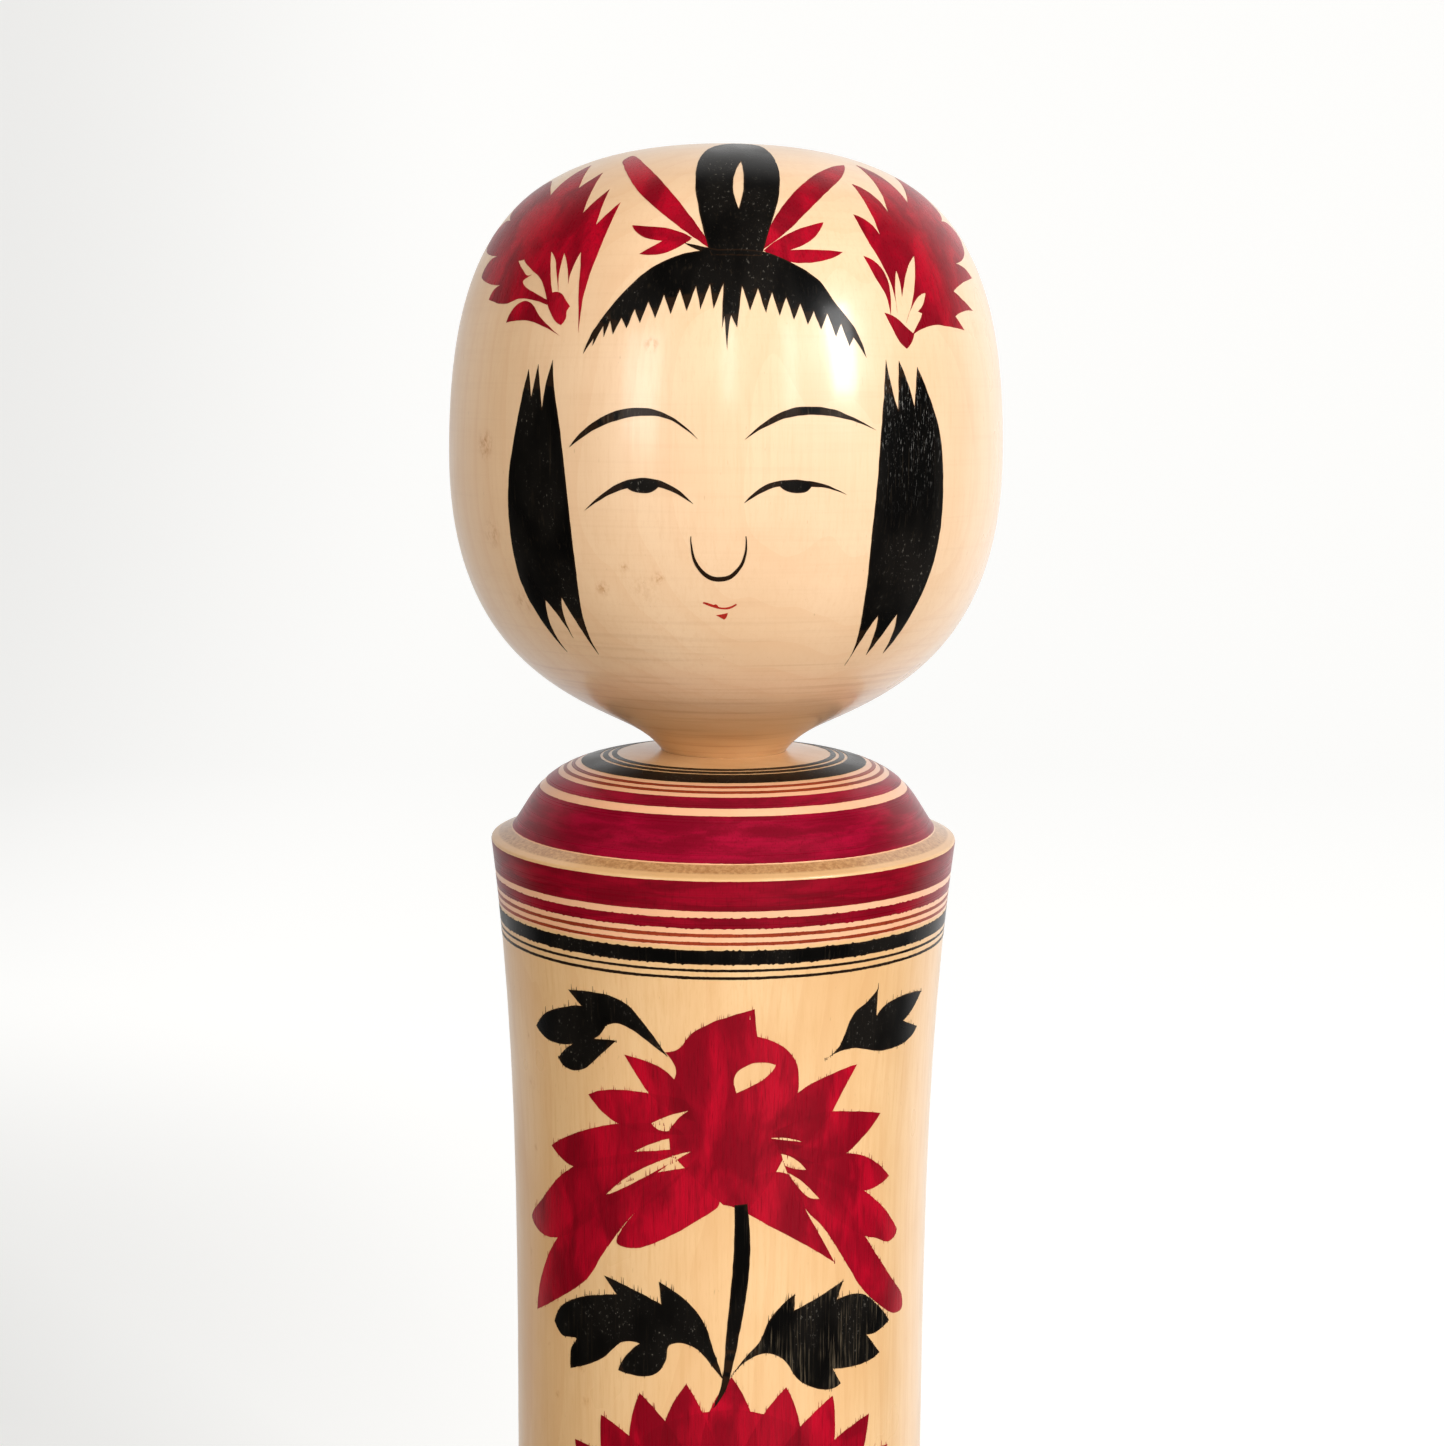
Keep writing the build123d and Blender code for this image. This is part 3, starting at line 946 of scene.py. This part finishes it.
def paint_bands():
    """The rings turned on with a brush: on the dome by radius, on the side by height."""
    dome_rings = (
        ("dome_line_1", ink, 18.1, 19.0),
        ("dome_line_2", ink, 19.6, 20.5),
        ("dome_black", ink, 21.0, 24.15),
        ("dome_red_line_1", line_red, 25.15, 25.8),
        ("dome_red_line_2", line_red, 26.6, 27.2),
        ("dome_red", dome_red, 28.1, 30.1),
        ("dome_crimson", dome_red, 31.2, 35.8),
    )
    side_rings = (
        ("shoulder_red", band_red, 188.33, 183.5),
        ("shoulder_red_2", band_red, 182.4, 180.7),
        ("shoulder_line_1", line_red, 179.85, 179.3),
        ("shoulder_line_2", line_red, 178.5, 178.0),
        ("shoulder_black", ink, 177.15, 174.9),
        ("shoulder_thin_1", ink, 174.1, 173.7),
        ("shoulder_thin_2", ink, 172.9, 172.45),
        ("foot_thin_1", ink, 23.0, 22.6),
        ("foot_thin_2", ink, 21.8, 21.4),
        ("foot_black", ink, 20.4, 18.0),
        ("foot_line_1", line_red, 16.6, 16.1),
        ("foot_line_2", line_red, 14.9, 14.4),
        ("foot_red", band_red, 13.0, 4.0),
    )
    for number, (name, finish, inner, outer) in enumerate(dome_rings):
        ends = body_surface.travel_at_radius([inner, outer])
        ring(name, finish, *ends, seed=number)
    for number, (name, finish, top, bottom) in enumerate(side_rings):
        ends = body_surface.travel_at_height([top, bottom])
        bristle = 0.0 if name == "shoulder_red" else min(0.25, (top - bottom) * 0.1)
        ring(name, finish, *ends, bristle=bristle, seed=50 + number)


def drooping_petals():
    """The flower's long outer petals, which hang down on both sides, lowest ones last."""
    return [
        shape(
            [(-5, 144), (-16, 141), (-26.0, 138.5), (-29.1, 139.2)],
            [(-31.8, 140.8), (-25.9, 144.2), (-16.8, 147.5), (-7, 147.8)],
        ),
        shape(
            [(8, 146), (18, 143), (25.5, 140.7)],
            [(31.6, 136.0), (28.4, 135.0), (25.1, 135.0), (18, 138), (12, 141)],
        ),
        shape(
            [(-7, 143), (-18, 134), (-30.4, 125.4), (-36.6, 124.8), (-39.2, 126.4), (-34.8, 131.0),
             (-30.0, 135.8), (-25.0, 139.2), (-14, 143)],
        ),
        shape(
            [(9, 144), (19, 139.5), (25.1, 135.2), (28.9, 132.2), (32.5, 128.6), (34.4, 125.6),
             (32.2, 124.6), (28.4, 126.2), (25.0, 127.6), (18, 133)],
        ),
        shape(
            [(-5, 141.5), (-10.0, 136.2), (-14.5, 132.7), (-17.4, 129.1), (-20.4, 124.9),
             (-23.7, 120.0), (-30.6, 114.9)],
            [(-37.5, 110.8), (-36.6, 115.2), (-33.8, 121.0), (-30.4, 125.6), (-24, 132), (-18, 137)],
        ),
        shape(
            [(10, 142), (19, 136), (25.0, 128.4), (28.9, 123.2), (33.0, 118.3), (37.0, 113.6),
             (37.0, 111.6), (34.8, 111.4), (31.4, 113.2), (25.4, 118.4), (22.9, 122.0), (17.1, 130.5),
             (14.0, 133.8)],
        ),
        shape(
            [(-4, 143), (-0.2, 135.8), (-3.6, 132.8), (-10.8, 128.4), (-14.5, 127.0), (-17.6, 127.4),
             (-16.4, 130.2), (-14.2, 133.0), (-9, 138)],
        ),
        shape(
            [(3, 139), (10.8, 140), (14.2, 133.3), (16.6, 129.2)],
            [(19.6, 124.0), (12.7, 128.7), (6.9, 132.2), (4.4, 133.8)], [(0.5, 135.6)],
        ),
    ]


def droop_gaps():
    """The slits left bare between the drooping petals."""
    return [
        shape([(-14.2, 143.2), (-11.2, 144.9)], [(-8.3, 146.0)], [(-8.2, 144.2)]),
        shape(
            [(-19.5, 135.2), (-14.4, 139.6), (-7.6, 143.2)],
            [(-4.8, 144.1), (-9.6, 141.0), (-17.2, 136.3)],
        ),
        brush((8.0, 146.2, 0.1), (10.3, 145.9, 0.35), (12.9, 145.2, 0.1)),
        shape([(9.6, 143.5), (11.8, 142.5)], [(13.9, 140.4), (11.6, 140.9)], [(10.1, 141.6)]),
        shape([(10.8, 140.2), (12.9, 138.8)], [(16.4, 135.2), (14.4, 135.8), (12.7, 137.5)]),
    ]


def paint_upper_flower():
    """The upper flower: a hooked heart, short upper petals and long drooping ones."""
    heart = shape(
        [(-8.8, 160.2), (-6.5, 161.1), (-4.8, 163.4), (-1.7, 165.4), (1.5, 166.6)], [(4.9, 167.6)],
        [(5.4, 163.1), (7.6, 162.3), (10.0, 160.8), (11.8, 158.2), (12.2, 155.2), (11.9, 151.5),
         (10.5, 144), (7.5, 138.5)],
        [(4.3, 134.6)], [(0.4, 135.4), (-5.5, 141), (-9.0, 145.4), (-8.4, 151)],
        [(-7.4, 155.9), (-7.2, 157.8)],
    )
    upper_petals = [
        shape(
            [(8, 148), (12.0, 153.3), (18.5, 156.0)],
            [(22.7, 156.7), (19.6, 151.8), (17.6, 148.6), (12, 144)],
        ),
        shape(
            [(8, 147), (16, 149.6), (22.4, 148.9)],
            [(28.6, 147.4), (24.2, 143.8), (20.4, 141.8), (12, 142)],
        ),
        shape(
            [(-4, 149), (-10.9, 152.6), (-14.2, 157.0)], [(-15.6, 159.1), (-12.0, 158.5), (-9.0, 157.3)],
            [(-6.0, 154.0)],
        ),
        shape(
            [(-4, 147), (-14, 146.9), (-18.6, 148.2)],
            [(-22.6, 151.4), (-18.6, 152.9), (-11.0, 153.2), (-5, 152)],
        ),
    ]
    gaps = [
        shape(
            [(1.9, 155.2), (2.3, 157.2), (4.2, 158.5), (6.4, 158.8)], [(8.4, 158.3), (7.3, 156.7)],
            [(2.3, 153.9)],
        ),
        shape(
            [(-11.2, 148.3), (-8.3, 149.8)], [(-5.2, 150.8), (-7.0, 149.2)],
            [(-8.3, 147.3), (-10, 147.3)],
        ),
        *droop_gaps(),
    ]
    strokes = [heart, *upper_petals, *drooping_petals()]
    painted("upper_flower", "body", crimson, strokes, bare=gaps, bleeding=1.5, seed=41)


def paint_lower_flower():
    """The lower flower, cut off in the photograph: a fan of flames over the same drooping petals."""
    heart = shape([(-16, 84), (-12, 96), (2, 101), (14, 96), (17, 84), (10, 79), (2, 77.2), (-8, 80)])
    flames = [
        petal(root, tip, width, lean)
        for root, tip, width, lean in (
            ((-6, 80), (-31.5, 86.0), 9, 1.0),
            ((-4, 78), (-26.6, 91.6), 10, 1.2),
            ((-3, 78), (-20.8, 97.5), 10, 1.6),
            ((-1, 78), (-13.5, 102.7), 10, 2.0),
            ((1, 78), (-5.5, 105.2), 9.5, 2.4),
            ((2, 78), (1.9, 106.6), 9.5, 0.3),
            ((2, 78), (11.1, 104.2), 10, -1.6),
            ((3, 78), (19.7, 101.3), 10, -1.8),
            ((5, 78), (27.8, 96.1), 10, -1.5),
            ((6, 80), (33.0, 89.0), 9, -1.0),
        )
    ]
    low_petals = [moved(outline, lower_flower_drop) for outline in drooping_petals()]
    gaps = [moved(outline, lower_flower_drop) for outline in droop_gaps()]
    strokes = [heart, *flames, *low_petals]
    painted("lower_flower", "body", crimson, strokes, bare=gaps, bleeding=1.5, seed=43)


def stem(drop=0.0):
    """The outline of a flower's stem, thick at the flower and drawn out to a hair."""
    return moved(
        brush(
            (3.2, 135.4, 2.0), (3.45, 129.7, 2.55), (3.3, 124.5, 2.7), (2.7, 118.5, 2.5),
            (2.0, 113.0, 2.0), (1.4, 108.5, 1.4), (0.6, 104.6, 0.9), (-1.0, 101.4, 0.1),
        ),
        drop,
    )


def left_leaf():
    """The three-lobed leaf to the left of the stem."""
    return shape(
        [(-31.8, 110.6), (-29.8, 113.8), (-25.1, 116.6), (-20, 118.2)], [(-17.7, 118.7)],
        [(-20.1, 121.4), (-15.0, 120.2)], [(-9.7, 118.2)],
        [(-10.1, 122.0), (-7.1, 120.3), (-4.6, 118.3), (-2.5, 115.3), (-0.7, 110.0)],
        [(0.7, 105.9), (-1.6, 108.8), (-3.6, 111.0), (-6.2, 112.0), (-8.4, 111.4), (-9.0, 108.6),
         (-11.0, 106.2)],
        [(-17.4, 105.9), (-16.0, 108.6)], [(-13.4, 111.1), (-16.6, 110.8), (-20.6, 107.2)],
        [(-27.6, 103.7), (-27.4, 107.2), (-26.2, 109.2), (-29.6, 108.8)],
    )


def right_leaf():
    """The leaf to the right of the stem, painted with a brush that was running dry."""
    return shape(
        [(0.7, 105.1), (4.1, 109.7), (6.4, 112.2), (8.1, 115.8), (10.0, 118.0)], [(12.4, 119.8)],
        [(12.3, 117.0), (17.0, 118.8)], [(21.4, 120.6)], [(20.2, 117.6), (25.4, 117.4), (29.0, 114.8)],
        [(32.8, 110.8), (29.4, 109.8)], [(26.8, 110.0)], [(30.3, 106.0), (27.0, 105.3)], [(19.6, 105.9)],
        [(21.3, 103.0), (18.4, 102.6), (13.4, 105.0), (10.6, 108.9), (7.6, 110.3), (4.4, 109.2)],
    )


def paint_leaves():
    """The stems, the leaves beside them, and the two sprays above the upper flower."""
    spray = [
        shape(
            [(-25.9, 168.3), (-21.5, 168.7), (-18.0, 168.6), (-14.9, 167.5), (-12.7, 165.3)],
            [(-8.4, 159.5), (-11.9, 162.0), (-14.5, 163.6), (-17.1, 164.1)], [(-20.4, 162.4)],
            [(-23.0, 165.8)],
        ),
        shape(
            [(-34.8, 160.4), (-31.8, 163.2), (-27.6, 165.0), (-22.8, 166.0)],
            [(-18.6, 163.7), (-21.0, 161.0), (-24.6, 159.6), (-28.0, 158.8), (-32.0, 158.9)],
        ),
        shape(
            [(-29.0, 156.3), (-26.6, 158.6), (-23.4, 160.4)], [(-17.0, 161.2), (-20.0, 158.4)],
            [(-22.6, 156.0), (-25.4, 154.9), (-27.8, 155.2)],
        ),
    ]
    lone = shape(
        [(16.6, 158.4), (19.2, 160.4), (20.5, 163.4), (21.8, 165.6), (24.2, 167.0)], [(26.2, 168.8)],
        [(26.3, 164.2), (29.2, 166.0)], [(38.6, 165.9), (35.8, 163.4)], [(33.2, 162.0)],
        [(38.0, 160.0), (35.2, 158.4), (28.4, 158.0), (21.0, 159.6)],
    )
    low_left_leaf = moved(left_leaf(), lower_flower_drop)
    low_right_leaf = moved(right_leaf(), lower_flower_drop)
    for name, finish, strokes, bleeding, seed in (
        ("left_spray", ink, spray, 1.6, 47),
        ("right_spray", ink, [lone], 1.6, 53),
        ("upper_stem", ink, [stem()], 1.0, 59),
        ("upper_left_leaf", ink, [left_leaf()], 1.6, 61),
        ("upper_right_leaf", dry_ink, [right_leaf()], 1.8, 67),
        ("lower_stem", ink, [stem(lower_flower_drop)], 1.0, 71),
        ("lower_left_leaf", ink, [low_left_leaf], 1.6, 73),
        ("lower_right_leaf", dry_ink, [low_right_leaf], 1.8, 79),
    ):
        painted(name, "body", finish, strokes, bleeding=bleeding, seed=seed)


def carve_wood():
    """Gives the two turned CAD pieces their wood."""
    for name, material in (("head", head_wood()), ("body", body_wood())):
        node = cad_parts[name]
        for k in range(len(node.data.materials)):
            node.data.materials[k] = material


# ------------------------------------------------------------------ stage, light and camera


def stage_material():
    """Matt, very pale glowing paper: dimmer to the viewer's left, in front, and near one spot."""
    material, paper = new_material("paper")
    left_wall = paper.ramp(paper.x, -750.0, -200.0, 0.80, 1.0)
    front_wall = paper.ramp(paper.y, -900.0, -60.0, 0.74, 1.0)
    dim_corner = paper.ramp(paper.distance_to((-380, 160, 0)), 60.0, 480.0, 0.66, 1.0)
    shade = paper.math("MULTIPLY", paper.math("MULTIPLY", left_wall, front_wall), dim_corner)
    glow = paper.math("MULTIPLY", shade, 0.84)
    paper.set(Base_Color=rgb(0.30, 0.30, 0.295), Roughness=0.9, Specular_IOR_Level=0.0)
    paper.set(Emission_Color=rgb(1.0, 0.998, 0.985), Emission_Strength=glow)
    return material


def build_stage():
    """A round floor that curves up into a wall all the way round."""
    floor_radius, bend_radius, wall_height = 1.3, 0.6, 2.2
    bend_steps, around = 16, 96
    outline = [(0.001, 0.0), (0.5, 0.0), (floor_radius, 0.0)]
    for k in range(1, bend_steps + 1):
        angle = math.pi / 2 * k / bend_steps
        outward, upward = bend_radius * math.sin(angle), bend_radius * (1 - math.cos(angle))
        outline.append((floor_radius + outward, upward))
    outline.append((floor_radius + bend_radius, wall_height))
    points, faces = [], []
    for radius, height in outline:
        for k in range(around):
            angle = 2 * math.pi * k / around
            points.append((radius * math.cos(angle), radius * math.sin(angle), height))
    for row in range(len(outline) - 1):
        for k in range(around):
            across = (k + 1) % around
            low, high = row * around, (row + 1) * around
            faces.append((low + k, high + k, high + across, low + across))
    faces.append(tuple(reversed(range(around))))
    mesh = bpy.data.meshes.new("stage")
    mesh.from_pydata(points, [], faces)
    mesh.polygons.foreach_set("use_smooth", [True] * len(faces))
    mesh.materials.append(stage_material())
    stage = bpy.data.objects.new("stage", mesh)
    bpy.context.scene.collection.objects.link(stage)
    for ray in ("glossy", "diffuse", "shadow"):
        setattr(stage, f"visible_{ray}", False)


def toward(azimuth, elevation):
    """A direction from the doll: azimuth from the camera's side, positive to the viewer's right."""
    turn, rise = math.radians(azimuth), math.radians(elevation)
    return Vector((math.sin(turn) * math.cos(rise), -math.cos(turn) * math.cos(rise), math.sin(rise)))


def add_light(name, azimuth, elevation, width, height, power, mirrored=True, color=(1, 1, 1)):
    """A soft rectangular light facing the doll's head; only a mirrored one shows as a highlight."""
    distance = 1.6  # metres
    light = bpy.data.lights.new(name, "AREA")
    light.shape = "RECTANGLE"
    light.size = width
    light.size_y = height
    light.energy = power
    light.color = color
    lamp = bpy.data.objects.new(name, light)
    bpy.context.scene.collection.objects.link(lamp)
    direction = toward(azimuth, elevation)
    lamp.location = Vector((0, 0, head_widest_height * MM)) + direction * distance
    lamp.rotation_euler = direction.to_track_quat("Z", "Y").to_euler()
    lamp.visible_camera = False
    lamp.visible_glossy = mirrored


def light_scene():
    """A row of windows behind the camera, soft fills, and a room bright only behind the doll."""
    warm = (1.0, 0.91, 0.76)
    add_light("left_window", -34, 11, 0.40, 0.55, 4.2)
    add_light("middle_window", 1, 17, 0.14, 0.50, 1.8)
    add_light("right_window", 26, 15, 0.14, 0.50, 1.8)
    add_light("bright_window", 48, 18, 0.30, 0.55, 15.0)
    add_light("left_fill", -50, 10, 1.8, 1.8, 11.0, mirrored=False, color=warm)
    add_light("right_fill", 42, 2, 1.8, 1.8, 12.5, mirrored=False)
    add_light("low_fill", 8, -16, 2.2, 2.2, 7.5, mirrored=False)
    add_light("top_fill", 20, 72, 1.2, 1.2, 5.0, mirrored=False)

    world = bpy.data.worlds.new("room")
    bpy.context.scene.world = world
    room = Shading(world, "Background", "Generated", unit=1.0)
    behind = room.ramp(room.y, 0.25, 0.62, 0.05, 1.0)
    sideways = room.ramp(room.x, -0.8, 0.6, 0.60, 1.15)
    room.set(Color=rgb(1.0, 0.99, 0.98), Strength=room.math("MULTIPLY", behind, sideways))


def add_camera():
    """The photograph's camera: just above the face, looking slightly down."""
    place = (-0.00026, -0.3936, 0.2616)
    tilt_down = 7.807
    roll = 0.38
    camera = bpy.data.cameras.new("camera")
    camera.sensor_fit = "HORIZONTAL"
    camera.sensor_width = 36.0
    camera.lens = 58.37
    holder = bpy.data.objects.new("camera", camera)
    bpy.context.scene.collection.objects.link(holder)
    look_down = Matrix.Rotation(math.radians(90 - tilt_down), 4, "X")
    lean = Matrix.Rotation(math.radians(roll), 4, "Z")
    holder.matrix_world = Matrix.Translation(place) @ look_down @ lean
    bpy.context.scene.camera = holder
    bpy.context.scene.view_settings.view_transform = "Standard"


carve_wood()
paint_bangs()
paint_topknot()
paint_ribbons()
paint_left_ornament()
paint_right_ornament()
paint_side_locks()
paint_face()
paint_bands()
paint_upper_flower()
paint_lower_flower()
paint_leaves()
build_stage()
light_scene()
add_camera()
